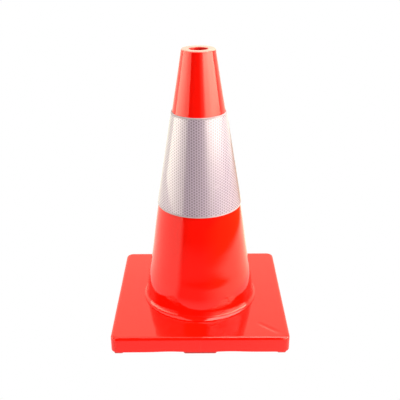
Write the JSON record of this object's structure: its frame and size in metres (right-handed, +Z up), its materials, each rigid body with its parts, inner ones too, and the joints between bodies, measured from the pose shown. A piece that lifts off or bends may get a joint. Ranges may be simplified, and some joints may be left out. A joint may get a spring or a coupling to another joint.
{
  "type": "traffic cone",
  "caption": "Soft glossy PVC traffic cone on a square ballasted base, with a slip-on reflective collar and an open top; the cones nest in a stack.",
  "frame": {"origin": "on the floor, at the middle of the square base", "axes": "+Z up the cone's axis, -Y towards the front side of the base, +X to the right"},
  "size_m": [0.28, 0.28, 0.448],
  "materials": {
    "orange_pvc": "high gloss moulded soft PVC",
    "ballast": "rough recycled compound",
    "collar_white": "satin white PVC sheet",
    "collar_film": "glossy prismatic reflective film with a fine cell pattern"
  },
  "bodies": {
    "cone": {"cone_shell": "orange_pvc", "base_cover": "orange_pvc", "base_floor": "orange_pvc", "ballast": "ballast"},
    "collar": {"collar_backing": "collar_white", "collar_film": "collar_film"}
  },
  "joints": [
    {"name": "collar_lift", "type": "slide", "parent": "cone", "child": "collar", "axis": [0, 0, 1], "range_m": [0, 0.26]}
  ]
}
